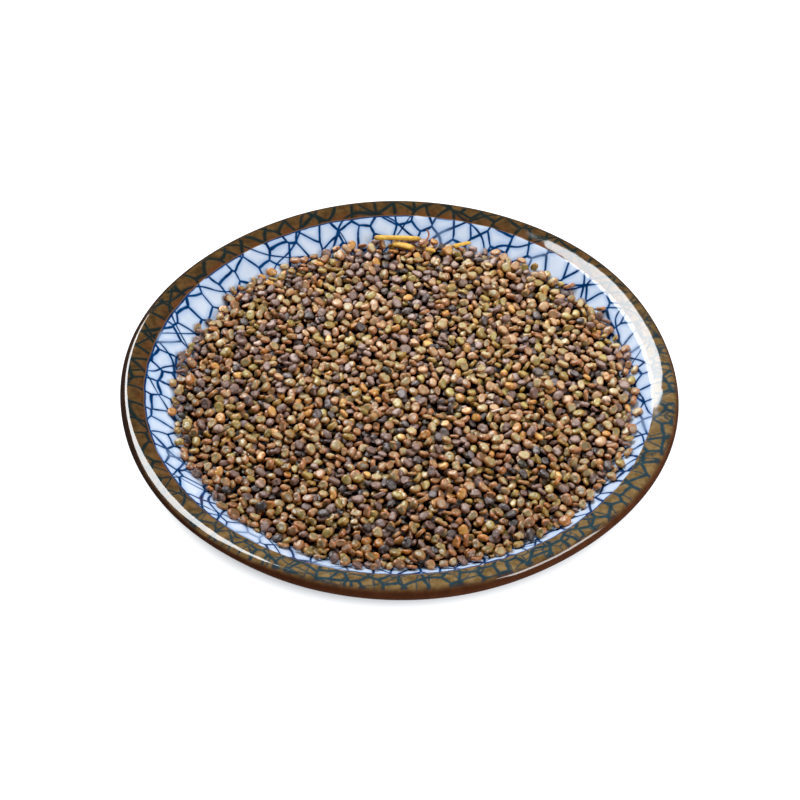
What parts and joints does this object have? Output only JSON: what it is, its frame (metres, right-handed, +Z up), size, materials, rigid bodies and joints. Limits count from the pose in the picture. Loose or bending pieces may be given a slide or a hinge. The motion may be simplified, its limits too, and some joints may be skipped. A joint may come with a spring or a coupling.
{
  "type": "dish of milkvetch seeds",
  "caption": "Shallow round glazed stoneware dish with a blue crackle pattern and a brown lip, filled almost to the lip with small brown milkvetch seeds.",
  "frame": {"origin": "on the table, under the middle of the dish", "axes": "+Z up, out of the open side of the dish; -Y towards the front of the picture, +X to its right"},
  "size_m": [0.12, 0.1204, 0.02],
  "materials": {
    "glaze": "glossy bluish-white glaze with cobalt blue crackle lines, brown over the lip, bare clay under the foot ring",
    "seed_coat": "dry satin seed coats, olive, orange-brown and dark purplish brown, with a few yellow dry stalks"
  },
  "bodies": {
    "root": {"dish": "glaze", "seeds": "seed_coat"}
  },
  "joints": []
}
